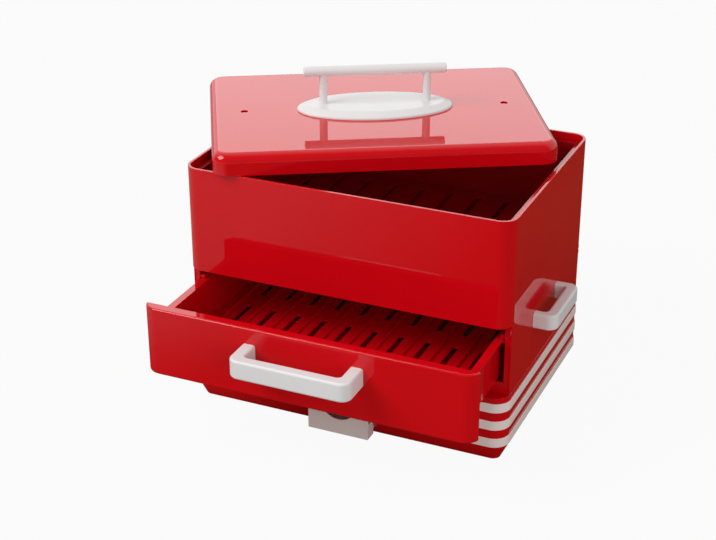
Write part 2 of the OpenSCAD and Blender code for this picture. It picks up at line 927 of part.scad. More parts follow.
// Lid: shallow inverted tray with a rounded upper edge and two steam vents
module lid_shell() {
    profile = concat(
        [[0, 0]],
        arc(-lid_edge, lid_h - lid_edge, lid_edge, 0, 90),
        [[-lid_edge - cut, lid_h], [-lid_edge - cut, lid_h - lid_wall]],
        arc(-lid_edge, lid_h - lid_edge, lid_edge - lid_wall, 90, 0),
        [[-lid_wall, 0]]);
    color(red)
        laid()
            difference() {
                union() {
                    swept(lid_w, lid_d, lid_r)
                        polygon(profile);
                    slab(lid_w - 2 * lid_edge, lid_d - 2 * lid_edge, lid_r - lid_edge, lid_h - lid_wall,
                         lid_wall);
                }
                for (x = [-1, 1]) {
                    translate([x * vent_x, 0, lid_h - lid_wall - cut])
                        cylinder(d = vent_d, h = lid_wall + 2 * cut);
                    translate([x * post_gap / 2, 0, lid_h - lid_wall - cut])
                        cylinder(d = bore_d, h = lid_wall + 2 * cut);
                }
            }
}

// Ellipse in plan
module oval(l, w) {
    oval_steps = 72;
    polygon([for (i = [0:oval_steps - 1]) let (t = 360 * i / oval_steps) [l / 2 * cos(t), w / 2 * sin(t)]]);
}

module lid_handle_plate() {
    rise = plate_t / 3;
    taper = [1 - 2 * plate_bevel / plate_l, 1 - 2 * plate_bevel / plate_w];
    color(white)
        laid()
            translate([0, 0, lid_h])
                difference() {
                    union() {
                        linear_extrude(rise)
                            oval(plate_l, plate_w);
                        translate([0, 0, rise])
                            linear_extrude(plate_t - rise, scale = taper, slices = 1, segments = 0)
                                oval(plate_l, plate_w);
                    }
                    for (x = [-1, 1])
                        translate([x * post_gap / 2, 0, -cut])
                            cylinder(d = bore_d, h = plate_t + 2 * cut);
                }
}

// Two posts between the plate and the bar, hollowed to the bar's round
module lid_handle_posts() {
    color(white)
        laid()
            difference() {
                for (x = [-1, 1])
                    translate([x * post_gap / 2, 0, lid_h + plate_t])
                        difference() {
                            cylinder(d = post_d, h = post_h);
                            translate([0, 0, -cut])
                                cylinder(d = bore_d, h = bite + cut + fit);
                        }
                translate([-rod_l / 2, 0, rod_z])
                    rotate([0, 90, 0])
                        cylinder(d = rod_d + 2 * fit, h = rod_l);
            }
}

module lid_handle_bar() {
    color(white)
        laid()
            translate([-rod_l / 2, 0, rod_z])
                rotate([0, 90, 0])
                    cylinder(d = rod_d, h = rod_l);
}

module lid_handle_screws() {
    color(steel)
        laid()
            for (x = [-1, 1])
                translate([x * post_gap / 2, 0, lid_h - lid_wall])
                    screw(lid_wall + plate_t + bite);
}

base_shell();
bottom_cover();
rubber_feet();
trim_band_upper();
trim_band_middle();
trim_band_lower();
housing();
water_tank();
heater_plate();
heating_element();
thermostat();
thermal_fuse();
terminal_block();
cord_gland();
bottom_screws();
housing_screws();
side_handle_left();
side_handle_right();
side_handle_screws();
drawer_front();
drawer_tub();
drawer_handle();
drawer_handle_screws();
drip_tray();
upper_tray();
lid_shell();
lid_handle_plate();
lid_handle_posts();
lid_handle_bar();
lid_handle_screws();
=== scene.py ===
import json
import math

import bmesh
import bpy
from bpy.props import FloatProperty, FloatVectorProperty, PointerProperty
from bpy.types import Operator, Panel, PropertyGroup
from mathutils import Matrix, Vector

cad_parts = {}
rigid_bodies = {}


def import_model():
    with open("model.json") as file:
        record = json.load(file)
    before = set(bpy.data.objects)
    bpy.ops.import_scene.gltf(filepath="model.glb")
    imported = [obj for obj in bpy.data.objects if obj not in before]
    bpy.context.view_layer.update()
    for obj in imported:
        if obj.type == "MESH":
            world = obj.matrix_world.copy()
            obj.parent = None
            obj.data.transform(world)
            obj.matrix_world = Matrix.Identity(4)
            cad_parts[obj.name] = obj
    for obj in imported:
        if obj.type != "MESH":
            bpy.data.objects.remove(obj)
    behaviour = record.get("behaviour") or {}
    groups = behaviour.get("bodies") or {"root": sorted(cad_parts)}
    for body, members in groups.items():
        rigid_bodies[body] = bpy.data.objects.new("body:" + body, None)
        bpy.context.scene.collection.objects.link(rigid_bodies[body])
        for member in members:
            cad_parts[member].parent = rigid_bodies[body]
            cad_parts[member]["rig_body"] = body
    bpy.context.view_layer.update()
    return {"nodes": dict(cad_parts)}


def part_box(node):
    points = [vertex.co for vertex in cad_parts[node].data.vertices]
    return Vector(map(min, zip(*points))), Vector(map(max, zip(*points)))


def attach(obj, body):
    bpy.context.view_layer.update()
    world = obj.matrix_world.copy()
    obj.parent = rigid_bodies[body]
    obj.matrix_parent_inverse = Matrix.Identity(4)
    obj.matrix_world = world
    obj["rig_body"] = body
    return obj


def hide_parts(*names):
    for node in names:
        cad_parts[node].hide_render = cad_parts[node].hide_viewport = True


bl_info = {
    "name": "Countertop steamer",
    "version": (1, 0, 0),
    "blender": (4, 5, 0),
    "location": "View3D > Sidebar > Steamer",
    "description": "Dresses the solids of a two-tier steamer with rounded mouldings and finishes",
    "category": "Object",
}

for startup_object in list(bpy.data.objects):
    bpy.data.objects.remove(startup_object)

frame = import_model()
MM = 0.001

# Vertices this close are one, and heights this close are level
WELD = 1e-6

# Width of a hair, for tests along edges and for set-backs
HAIR = 0.1 * MM

# Set-back that keeps joined shells from sharing a face
SEAM = 0.15 * MM

# Plain white with full alpha
WHITE = (1, 1, 1, 1)

# Edges that turn by less than this are shaded smooth
SMOOTH_BELOW = math.radians(38)

# Faces that turn by less than this are one flat
FLAT_BELOW = math.radians(0.3)


def length(name, description, millimetres):
    """A size that a user may change."""
    return FloatProperty(name=name, description=description, default=millimetres * MM, min=0, unit="LENGTH")


def place(name, description, millimetres):
    """A height or a distance along an axis, which may be negative."""
    return FloatProperty(name=name, description=description, default=millimetres * MM, unit="LENGTH")


def power(name, description, watts):
    """The power of a lamp."""
    return FloatProperty(name=name, description=description, default=watts, min=0, subtype="POWER")


def share(name, description, part):
    """A part of one."""
    return FloatProperty(name=name, description=description, default=part, min=0, max=1, subtype="FACTOR")


def tint(name, description, red, green, blue):
    """A colour in linear light."""
    return FloatVectorProperty(
        name=name, description=description, default=(red, green, blue), min=0, max=1, size=3, subtype="COLOR"
    )


class SteamerShells(PropertyGroup):
    wall: length("Wall", "Thickness of the housing's wall", 2.5)
    corner: length("Corner", "Outer radius of the housing's upright corners", 15)
    rim_round: length("Rim rounding", "Radius along the housing's rim and cut edges", 0.8)
    recess: place("Recess", "Where the housing steps back beside the drawer", -105.8)
    opening_top: place("Opening top", "Height of the drawer opening's upper edge", 144)
    sill_top: place("Sill top", "Height of the sill under the drawer", 84)
    opening_half: length("Opening half width", "Half the width of the drawer opening", 157.2)
    seat: place("Tray seat", "Height of the ledge that carries the upper tray", 240.2)
    ledge: length("Ledge width", "Width of the ledge inside the wall", 5)
    notch_half: length("Notch half length", "Half the length of the finger notches", 38)
    runner_lower: place("Lower runner", "Height of the lower runner's underside", 124.5)
    runner_upper: place("Upper runner", "Height of the upper runner's underside", 130.1)
    runner_height: length("Runner height", "Height of a runner", 3)
    runner_inner: length("Runner inside", "Distance of a runner's inner face from the middle", 152.2)
    runner_end: place("Runner end", "Where the runners end at the back", 109.7)
    overhang: length("Overhang", "How far the drawer front stands out past the housing's sides", 2)
    panel_round: length("Drawer front rounding", "Radius along the drawer front's upper edge", 2.0)
    panel_foot: length("Drawer front foot", "Radius along the drawer front's lower edge", 3.5)
    deck_round: length("Deck rounding", "Radius along the upper edge of the base", 1.2)
    deck_edge: length("Deck edge", "How far in from the outline the base's edges are rounded", 12)
    tray_round: length("Tray rounding", "Radius along the edges of the tub, trays and tank", 0.5)
    small_round: length("Small rounding", "Radius along the edges of small mouldings", 0.6)
    foot_round: length("Foot rounding", "Radius along the lower edges of the feet", 1.0)


class SteamerLid(PropertyGroup):
    width: length("Width", "Width of the lid", 327)
    depth: length("Depth", "Depth of the lid", 233)
    height: length("Height", "Height of the lid", 21)
    corner: length("Corner", "Outer radius of the lid's upright corners", 16)
    edge: length("Upper edge", "Radius of the lid's upper edge", 9)
    rim_round: length("Rim rounding", "Radius along the lid's lower edges", 0.5)
    wall: length("Wall", "Thickness of the lid", 2.5)
    turn: FloatProperty(
        name="Turn", description="How far the lid lies askew", default=math.radians(29.2), subtype="ANGLE"
    )
    vent: length("Vent", "Diameter of a steam vent", 7.5)
    vent_place: length("Vent place", "Distance of a vent from the lid's middle", 130)
    plate_length: length("Plate length", "Length of the oval plate", 155)
    plate_width: length("Plate width", "Width of the oval plate", 75)
    plate_height: length("Plate height", "Height of the oval plate", 6)
    plate_bevel: length("Plate bevel", "Width of the plate's sloping edge", 9)
    post: length("Post", "Diameter of a post", 8)
    post_place: length("Post place", "Distance of a post from the lid's middle", 51.5)
    rod: length("Bar", "Diameter of the bar", 10)
    rod_length: length("Bar length", "Length of the bar", 141)
    rod_rise: length("Bar rise", "Height of the bar's middle over the plate", 33)
    handle_round: length("Handle rounding", "Radius along the edges of the plate and the bar", 1.0)


class SteamerHandles(PropertyGroup):
    pull_leg: length("Drawer handle's leg", "Width of the drawer handle's legs", 12.5)
    grip_leg: length("Side handle's leg", "Width of a side handle's legs", 9)
    bar: length("Bar", "Thickness of a handle's bar", 11.5)
    outer: length("Outer corner", "Outer corner radius", 10)
    inner: length("Inner corner", "Inner corner radius", 4)
    edge: length("Edge", "Radius along a handle's edges", 2.4)


class SteamerColours(PropertyGroup):
    red: tint("Red", "Housing, base, drawer and lid", 0.66, 0.002, 0.007)
    tray_red: tint("Tray red", "Upper tray and bottom cover", 0.46, 0.004, 0.009)
    white: tint("White", "Handles", 0.82, 0.805, 0.80)
    # Painted light: the white plastic of the bands and drip tray, partly its own cream white and partly made
    # lighter and pinker for the light and red bounce they catch
    lit_white: tint("Band", "Bands and drip tray", 0.97, 0.83, 0.78)
    aluminium: tint("Aluminium", "Water tank and heater plate", 0.78, 0.79, 0.80)
    steel: tint("Steel", "Screws and heating element", 0.58, 0.59, 0.61)
    black: tint("Black", "Thermostat and cord inlet", 0.022, 0.022, 0.024)
    rubber: tint("Rubber", "Feet", 0.030, 0.029, 0.028)
    cream: tint("Cream", "Terminal block", 0.68, 0.62, 0.48)
    floor: tint("Floor", "Studio floor", 0.42, 0.42, 0.42)
    # Painted shade: a dark sheet that reflections show in place of the shadowed surroundings near the
    # steamer
    flag: tint("Flag", "Dark sheet that reflections show", 0.16, 0.07, 0.035)


class SteamerStage(PropertyGroup):
    key: power("Key lamp", "Soft lamp at the upper left", 68)
    fill: power("Fill lamp", "Soft lamp low at the front right", 17.5)
    back: power("Back lamp", "Panel mirrored in the lid", 11)
    ambient: share("Ambient", "Even light from all round", 0.42)
    floor_white: share("Floor white", "Share of plain white in the floor that the camera sees", 0.94)
    floor_gloss: share("Floor in gloss", "Share of plain white in the floor that gloss shows", 0.06)
    front_gloss: share("Front in gloss", "Share of the white world that gloss shows at the front", 0.12)
    lens: FloatProperty(
        name="Lens", description="Focal length on a 36 mm sensor", default=77.789, unit="CAMERA"
    )


class Value:
    """One socket of a material; arithmetic on it adds Math nodes."""

    def __init__(self, shade, socket):
        self.shade = shade
        self.socket = socket

    def math(self, operation, first, second):
        return self.shade.add("ShaderNodeMath", {"operation": operation}, {0: first, 1: second})

    def __add__(self, other):
        return self.math("ADD", self, other)

    __radd__ = __add__

    def __sub__(self, other):
        return self.math("SUBTRACT", self, other)

    def __rsub__(self, other):
        return self.math("SUBTRACT", other, self)

    def __mul__(self, other):
        return self.math("MULTIPLY", self, other)

    __rmul__ = __mul__


class Shade:
    """A node tree that is filled by one method."""

    def __init__(self, tree):
        self.tree = tree
        tree.nodes.clear()

    def add(self, kind, settings=None, sockets=None, output=0):
        """Adds a node with its settings and its sockets' values or links, and gives one of its outputs."""
        node = self.tree.nodes.new(kind)
        for name, value in (settings or {}).items():
            if name == "stops":
                ramp = node.color_ramp.elements
                for element, (position, level) in zip(ramp, value):
                    element.position = position
                    element.color = (level, level, level, 1)
            else:
                setattr(node, name, value)
        for name, value in (sockets or {}).items():
            if isinstance(value, Value):
                self.tree.links.new(value.socket, node.inputs[name])
            else:
                node.inputs[name].default_value = value
        return Value(self, node.outputs[output]) if node.outputs else None

    def noise(self, scale, detail=2.0, stretch=(1, 1, 1)):
        """Noise in the piece's own coordinates, with its scale in waves to the metre."""
        here = self.add("ShaderNodeTexCoord", output="Object")
        placed = self.add("ShaderNodeMapping", None, {"Vector": here, "Scale": stretch})
        return self.add("ShaderNodeTexNoise", None, {"Vector": placed, "Scale": scale, "Detail": detail})

    def ramp(self, value, low, high):
        """0 up to low, 1 from high, and a slope between."""
        return self.add("ShaderNodeValToRGB", {"stops": ((low, 0), (high, 1))}, {"Fac": value})

    def slope(self, value, start, end):
        """0 up to the start, 1 from the end, for values of any size."""
        return self.add("ShaderNodeMapRange", None, {"Value": value, "From Min": start, "From Max": end})

    def bump(self, strength, distance, height, below=None):
        """Normal of a surface that rises with the height, on top of another bump if there is one."""
        sockets = {"Strength": strength, "Distance": distance, "Height": height}
        if below:
            sockets["Normal"] = below
        return self.add("ShaderNodeBump", None, sockets)

    def blend(self, factor, first, second):
        """Colour between two colours."""
        return self.add(
            "ShaderNodeMix",
            {"data_type": "RGBA"},
            {"Factor": factor, "A": (*first, 1), "B": (*second, 1)},
            output="Result",
        )


def scaled(colour, factor):
    """A lighter or darker colour."""
    return tuple(min(1.0, channel * factor) for channel in colour)


def finish_of(name, build):
    """The material of that name, built once."""
    material = bpy.data.materials.get(name)
    if material is None:
        material = bpy.data.materials.new(name)
        material.use_nodes = True
        shade = Shade(material.node_tree)
        shader = build(shade)
        shade.add("ShaderNodeOutputMaterial", None, {"Surface": shader})
    return material


def glossy_moulding(colour, gloss, sheen, wave, peel):
    """Moulded plastic: slow waves from the mould, a faint peel, handling haze and hair-fine scratches."""

    def build(shade):
        haze = shade.ramp(shade.noise(9, 4), 0.42, 0.72)
        flow = shade.noise(16, 3, (1, 1, 0.35))
        scratch = shade.ramp(shade.noise(260, 2, (1, 0.04, 1)), 0.66, 0.78)
        slow = shade.bump(1.0, wave, shade.noise(13, 1))
        fine = shade.bump(1.0, peel, shade.noise(620, 2), slow)
        return shade.add(
            "ShaderNodeBsdfPrincipled",
            None,
            {
                "Base Color": shade.blend(flow, scaled(colour, 0.94), scaled(colour, 1.06)),
                "Roughness": gloss + haze * 0.03 + scratch * 0.04,
                "Normal": fine,
                "IOR": 1.5,
                "Specular IOR Level": sheen,
            },
        )

    return build


def pressed_metal(colour, rough, along):
    """Pressed or drawn metal: a fine grain along one axis and cloudy water marks."""

    def build(shade):
        grain = shade.noise(900, 2, along)
        cloud = shade.ramp(shade.noise(22, 5), 0.40, 0.68)
        bump = shade.bump(0.5, 0.02 * MM, grain)
        return shade.add(
            "ShaderNodeBsdfPrincipled",
            None,
            {
                "Base Color": shade.blend(cloud, colour, scaled(colour, 0.86)),
                "Roughness": rough + grain * 0.10 + cloud * 0.12,
                "Metallic": 1.0,
                "Normal": bump,
            },
        )

    return build


def matt_moulding(colour, rough, grit):
    """Spark-eroded plastic or rubber: an even grit and a slight bloom."""

    def build(shade):
        bloom = shade.ramp(shade.noise(45, 4), 0.45, 0.75)
        bump = shade.bump(0.6, grit, shade.noise(1500, 3))
        return shade.add(
            "ShaderNodeBsdfPrincipled",
            None,
            {
                "Base Color": shade.blend(bloom, colour, scaled(colour, 1.35)),
                "Roughness": rough + bloom * 0.12,
                "Normal": bump,
            },
        )

    return build


def finish(slot):
    """The material of one of the part's slots."""
    colours = bpy.context.scene.steamer_colours
    builds = {
        "red_plastic": lambda: glossy_moulding(colours.red, 0.025, 0.5, 0.08 * MM, 0.002 * MM),
        "dark_red_plastic": lambda: glossy_moulding(colours.tray_red, 0.14, 0.5, 0.10 * MM, 0.006 * MM),
        "white_plastic": lambda: glossy_moulding(colours.white, 0.34, 0.3, 0.06 * MM, 0.008 * MM),
        # The handles' white plastic in a lighter, pinker colour: painted light
        "band_plastic": lambda: glossy_moulding(colours.lit_white, 0.34, 0.3, 0.06 * MM, 0.008 * MM),
        "tank_aluminium": lambda: pressed_metal(colours.aluminium, 0.24, (0.03, 1, 1)),
        "steel": lambda: pressed_metal(colours.steel, 0.28, (1, 1, 0.1)),
        "black_plastic": lambda: matt_moulding(colours.black, 0.42, 0.03 * MM),
        "cream_plastic": lambda: matt_moulding(colours.cream, 0.50, 0.03 * MM),
        "foot_rubber": lambda: matt_moulding(colours.rubber, 0.68, 0.05 * MM),
    }
    return finish_of(slot + "_finish", builds[slot]())


def block(low, high):
    """New mesh of a block between two corners."""
    low, high = Vector(low), Vector(high)
    bm = bmesh.new()
    bmesh.ops.create_cube(bm, size=1)
    bmesh.ops.scale(bm, vec=high - low, verts=bm.verts)
    bmesh.ops.translate(bm, vec=(low + high) / 2, verts=bm.verts)
    return bm


def rod(diameter, reach):
    """New mesh of a round bar from height 0 up."""
    bm = bmesh.new()
    bmesh.ops.create_cone(
        bm, cap_ends=True, segments=64, radius1=diameter / 2, radius2=diameter / 2, depth=reach
    )
    bmesh.ops.translate(bm, vec=(0, 0, reach / 2), verts=bm.verts)
    return bm


def prism(points, reach):
    """New mesh from an outline of a few points, drawn out by a vector."""
    bm = bmesh.new()
    outline = bm.faces.new([bm.verts.new(point) for point in points])
    drawn = bmesh.ops.extrude_face_region(bm, geom=[outline])
    bmesh.ops.translate(bm, vec=reach, verts=[v for v in drawn["geom"] if isinstance(v, bmesh.types.BMVert)])
    bmesh.ops.recalc_face_normals(bm, faces=bm.faces)
    return bm


def middle(edge):
    """The middle of an edge."""
    return (edge.verts[0].co + edge.verts[1].co) / 2


def uprights(bm, where=lambda point: True):
    """Edges along Z whose middle passes the test."""
    return [
        e for e in bm.edges
        if abs((e.verts[0].co - e.verts[1].co).normalized().z) > 0.999 and where(middle(e))
    ]


def corners(bm, where=lambda point: True, least=40):
    """Edges at which two faces turn by more than some degrees and whose middle passes the test."""
    turn = math.radians(least)
    return [e for e in bm.edges if e.is_manifold and e.calc_face_angle() > turn and where(middle(e))]


def round_off(bm, edges, radius, segments):
    """Rounds the edges."""
    bmesh.ops.bevel(
        bm, geom=edges, offset=radius, offset_type="OFFSET", affect="EDGES", segments=segments, profile=0.5,
        material=-1, clamp_overlap=True
    )


def drop(bm, test):
    """Deletes the faces that pass the test."""
    bmesh.ops.delete(bm, geom=[f for f in bm.faces if test(f)], context="FACES")


def part_at(bm, point, normal):
    """Cuts new edges where a plane meets the mesh."""
    bmesh.ops.bisect_plane(
        bm, geom=bm.verts[:] + bm.edges[:] + bm.faces[:], dist=WELD, plane_co=point, plane_no=normal
    )


def front_slab(low, high, corner):
    """New mesh of a block whose front uprights are rounded by more than its depth may allow."""
    bm = block(low, (high[0], low[1] + 2 * corner, high[2]))
    round_off(bm, uprights(bm, lambda p: p.y < low[1] + MM), corner, 20)
    bmesh.ops.bisect_plane(
        bm, geom=bm.verts[:] + bm.edges[:] + bm.faces[:], dist=WELD, plane_co=(0, high[1], 0),
        plane_no=(0, 1, 0), clear_outer=True
    )
    bmesh.ops.holes_fill(bm, edges=[e for e in bm.edges if e.is_boundary], sides=0)
    bmesh.ops.recalc_face_normals(bm, faces=bm.faces)
    return bm


def thicken(bm, wall):
    """Gives an open skin a wall on its inner side."""
    bmesh.ops.solidify(bm, geom=bm.faces[:], thickness=wall)


def join(bm, other):
    """Adds another mesh to this one."""
    mesh = bpy.data.meshes.new("joined")
    other.to_mesh(mesh)
    other.free()
    bm.from_mesh(mesh)
    bpy.data.meshes.remove(mesh)


def carve(bm, cutter):
    """Takes the cutter's shape out of the mesh."""
    objects = []
    for name, source in (("carved", bm), ("cutter", cutter)):
        mesh = bpy.data.meshes.new(name)
        source.to_mesh(mesh)
        objects.append(bpy.data.objects.new(name, mesh))
        bpy.context.scene.collection.objects.link(objects[-1])
    cut = objects[0].modifiers.new("cut", "BOOLEAN")
    cut.operation = "DIFFERENCE"
    cut.solver = "EXACT"
    cut.object = objects[1]
    graph = bpy.context.evaluated_depsgraph_get()
    bm.clear()
    bm.from_mesh(objects[0].evaluated_get(graph).data)
    cutter.free()
    for made in objects:
        mesh = made.data
        bpy.data.objects.remove(made)
        bpy.data.meshes.remove(mesh)


def moulded(node, radius=0, segments=2, where=lambda point: True):
    """Copy of a solid, welded, with its flats made whole and its chosen edges rounded."""
    bm = bmesh.new()
    bm.from_mesh(frame["nodes"][node].data)
    bmesh.ops.remove_doubles(bm, verts=bm.verts, dist=WELD)
    bmesh.ops.dissolve_limit(bm, angle_limit=FLAT_BELOW, verts=bm.verts, edges=bm.edges)
    if radius:
        round_off(bm, corners(bm, where), radius, segments)
    return bm


def show(bm, name, node, slot, material=None):
    """Makes a finished mesh a piece that stands for a solid and rides with it."""
    for face in bm.faces:
        face.smooth = True
    for edge in bm.edges:
        edge.smooth = edge.is_manifold and edge.calc_face_angle() < SMOOTH_BELOW
    mesh = bpy.data.meshes.new(name)
    bm.to_mesh(mesh)
    bm.free()
    piece = bpy.data.objects.new(name, mesh)
    bpy.context.scene.collection.objects.link(piece)
    mesh.materials.append(material or finish(slot))
    flat = piece.modifiers.new("even shading", "WEIGHTED_NORMAL")
    flat.keep_sharp = True
    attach(piece, frame["nodes"][node]["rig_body"])
    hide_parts(node)


def dress(node, slot):
    """Gives a solid that stays in view its finish."""
    materials = frame["nodes"][node].data.materials
    materials.clear()
    materials.append(finish(slot))


def lid_place():
    """Where the lid lies: its middle at its lower edge, and its turn."""
    low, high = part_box("lid_shell")
    lid = bpy.context.scene.steamer_lid
    foot = Vector(((low.x + high.x) / 2, (low.y + high.y) / 2, low.z))
    return Matrix.Translation(foot) @ Matrix.Rotation(lid.turn, 4, "Z")


class STEAMER_OT_base(Operator):
    """Base with its deck and plinth, bottom cover, feet and cord inlet"""

    bl_idname = "steamer.base"
    bl_label = "Base"

    def execute(self, context):
        shells = context.scene.steamer_shells
        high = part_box("base_shell")[1]

        def on_deck_edge(point):
            inward = min(high.x - abs(point.x), high.y - abs(point.y))
            return inward < shells.deck_edge and point.z > high.z - HAIR

        base = moulded("base_shell", shells.deck_round, 4, on_deck_edge)
        cover = moulded("bottom_cover", shells.tray_round)
        feet = moulded("rubber_feet", shells.foot_round, 3, lambda p: p.z < MM)
        inlet = moulded("cord_gland", shells.rim_round, 3)
        show(base, "base", "base_shell", "red_plastic")
        show(cover, "underside_cover", "bottom_cover", "dark_red_plastic")
        show(feet, "feet", "rubber_feet", "foot_rubber")
        show(inlet, "cord_inlet", "cord_gland", "black_plastic")
        return {"FINISHED"}


class STEAMER_OT_bands(Operator):
    """Three bands round the base"""

    bl_idname = "steamer.bands"
    bl_label = "Bands"

    def execute(self, context):
        for level in ("upper", "middle", "lower"):
            node = "trim_band_" + level
            # The bands' white plastic takes the lighter, pinker colour that paints in light and red bounce
            show(moulded(node), "band_" + level, node, "white_plastic", finish("band_plastic"))
        return {"FINISHED"}


class STEAMER_OT_housing(Operator):
    """Housing with its drawer opening, tray ledge and runners"""

    bl_idname = "steamer.housing"
    bl_label = "Housing"

    def execute(self, context):
        shells = context.scene.steamer_shells
        low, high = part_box("housing")

        def before_opening(face):
            centre = face.calc_center_median()
            return centre.y < shells.recess and centre.z < shells.opening_top

        bm = block(low, high)
        drop(bm, lambda f: abs(f.normal.z) > 0.9)
        round_off(bm, uprights(bm), shells.corner, 20)
        part_at(bm, (0, shells.recess, 0), (0, 1, 0))
        part_at(bm, (0, 0, shells.opening_top), (0, 0, 1))
        drop(bm, before_opening)
        thicken(bm, shells.wall)
        round_off(bm, corners(bm), shells.rim_round, 4)
        join(bm, self.drawer_frame(shells, low, high))
        join(bm, self.soffit(shells, low, high))
        join(bm, self.tray_ledge(shells, low, high))
        for side in (-1, 1):
            for bottom in (shells.runner_lower, shells.runner_upper):
                join(bm, self.runner(shells, high, side, bottom))
        show(bm, "housing_shell", "housing", "red_plastic")
        return {"FINISHED"}

    def drawer_frame(self, shells, low, high):
        """Jambs and sill behind the drawer front."""
        outer, half, step = high.x - shells.wall, shells.opening_half, shells.recess + SEAM
        bottom, sill, top = low.z + HAIR, shells.sill_top, shells.opening_top + MM
        outline = (
            (-outer, bottom), (outer, bottom), (outer, top), (half, top),
            (half, sill), (-half, sill), (-half, top), (-outer, top),
        )
        bm = prism([(x, step, z) for x, z in outline], (0, shells.wall, 0))
        round_off(bm, corners(bm, lambda p: abs(p.x) < half + MM), shells.tray_round, 2)
        return bm

    def soffit(self, shells, low, high):
        """Ceiling over the drawer front."""
        inset = shells.wall / 2
        bottom = shells.opening_top + SEAM
        front_low = (low.x + inset, low.y + inset, bottom)
        rear_high = (high.x - inset, shells.recess + shells.wall, bottom + shells.wall)
        return front_slab(front_low, rear_high, shells.corner - inset)

    def tray_ledge(self, shells, low, high):
        """Ledge inside the wall, open at the finger notches."""
        inset = shells.wall / 2
        bm = block(
            (low.x + inset, low.y + inset, shells.seat - shells.wall),
            (high.x - inset, high.y - inset, shells.seat),
        )
        drop(bm, lambda f: abs(f.normal.z) > 0.9)
        round_off(bm, uprights(bm), shells.corner - inset, 12)
        for side in (-1, 1):
            part_at(bm, (0, side * shells.notch_half, 0), (0, 1, 0))
        drop(bm, lambda f: abs(f.calc_center_median().y) < shells.notch_half and abs(f.normal.x) > 0.9)
        thicken(bm, inset + shells.ledge)
        return bm

    def runner(self, shells, high, side, bottom):
        """Bar that the drawer's rim runs on."""
        left, right = sorted((side * shells.runner_inner, side * (high.x - shells.wall / 2)))
        front, back = shells.recess + shells.wall / 2, shells.runner_end
        return block((left, front, bottom), (right, back, bottom + shells.runner_height))


class STEAMER_OT_drawer(Operator):
    """Drawer front and the ridged, slotted tub behind it"""

    bl_idname = "steamer.drawer"
    bl_label = "Drawer"

    def execute(self, context):
        shells = context.scene.steamer_shells
        low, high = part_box("drawer_front")
        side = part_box("housing")[1].x + shells.overhang
        bm = front_slab((-side, low.y, low.z), (side, high.y, high.z), shells.corner)
        for height, radius in ((high.z, shells.panel_round), (low.z, shells.panel_foot)):
            fore = corners(bm, lambda p: abs(p.z - height) < WELD and p.y < high.y - WELD)
            round_off(bm, fore, radius, 6)
        show(bm, "drawer_panel", "drawer_front", "red_plastic")
        show(moulded("drawer_tub", shells.tray_round), "drawer_well", "drawer_tub", "red_plastic")
        return {"FINISHED"}


class STEAMER_OT_handles(Operator):
    """Drawer handle and the two side handles"""

    bl_idname = "steamer.handles"
    bl_label = "Handles"

    def execute(self, context):
        handles = context.scene.steamer_handles
        for node, turn in (("drawer_handle", 0), ("side_handle_left", -90), ("side_handle_right", 90)):
            low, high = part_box(node)
            root = Vector(((low.x + high.x) / 2, high.y, low.z))
            span, reach, leg = high.x - low.x, high.y - low.y, handles.pull_leg
            if turn:
                root = Vector((high.x if turn < 0 else low.x, (low.y + high.y) / 2, low.z))
                span, reach, leg = reach, span, handles.grip_leg
            bm = self.bracket(handles, span, reach, leg, high.z - low.z)
            placed = Matrix.Translation(root) @ Matrix.Rotation(math.radians(turn), 4, "Z")
            bmesh.ops.transform(bm, matrix=placed, verts=bm.verts)
            show(bm, node.replace("handle", "grip"), node, "white_plastic")
        return {"FINISHED"}

    def bracket(self, handle, span, reach, leg, height):
        """Bracket that stands out towards -Y, with its feet on y = 0."""
        half, inner = span / 2, span / 2 - leg
        gap = reach - handle.bar
        outline = (
            (-half, 0), (-half, -reach), (half, -reach), (half, 0),
            (inner, 0), (inner, -gap), (-inner, -gap), (-inner, 0),
        )
        bm = prism([(x, y, 0) for x, y in outline], (0, 0, height))
        round_off(bm, uprights(bm, lambda p: p.y < -reach + MM), handle.outer, 12)
        round_off(bm, uprights(bm, lambda p: abs(p.y + gap) < MM and abs(p.x) < half - MM), handle.inner, 10)
        round_off(bm, corners(bm, lambda p: p.y < -HAIR), handle.edge, 5)
        return bm


class STEAMER_OT_trays(Operator):
    """Upper tray and drip tray"""

    bl_idname = "steamer.trays"
    bl_label = "Trays"

    def execute(self, context):
        shells = context.scene.steamer_shells
        show(moulded("upper_tray", shells.tray_round), "top_tray", "upper_tray", "dark_red_plastic")
        drip = moulded("drip_tray", shells.small_round, 3)
        # The drip tray's white plastic is lightened against the shade under the drawer: painted light
        show(drip, "drip_drawer", "drip_tray", "white_plastic", finish("band_plastic"))
        return {"FINISHED"}


class STEAMER_OT_lid(Operator):
    """Lid with its two steam vents"""

    bl_idname = "steamer.lid"
    bl_label = "Lid"

    def execute(self, context):
        lid = context.scene.steamer_lid
        bm = block((-lid.width / 2, -lid.depth / 2, 0), (lid.width / 2, lid.depth / 2, lid.height))
        drop(bm, lambda f: f.normal.z < -0.9)
        round_off(bm, uprights(bm), lid.corner, 20)
        round_off(bm, corners(bm, lambda p: p.z > lid.height - WELD), lid.edge, 12)
        thicken(bm, lid.wall)
        round_off(bm, corners(bm, lambda p: p.z < WELD), lid.rim_round, 2)
        for side in (-1, 1):
            vent = rod(lid.vent, 4 * lid.wall)
            under = lid.height - 2 * lid.wall
            bmesh.ops.translate(vent, vec=(side * lid.vent_place, 0, under), verts=vent.verts)
            carve(bm, vent)
        bmesh.ops.transform(bm, matrix=lid_place(), verts=bm.verts)
        show(bm, "lid_cover", "lid_shell", "red_plastic")
        return {"FINISHED"}


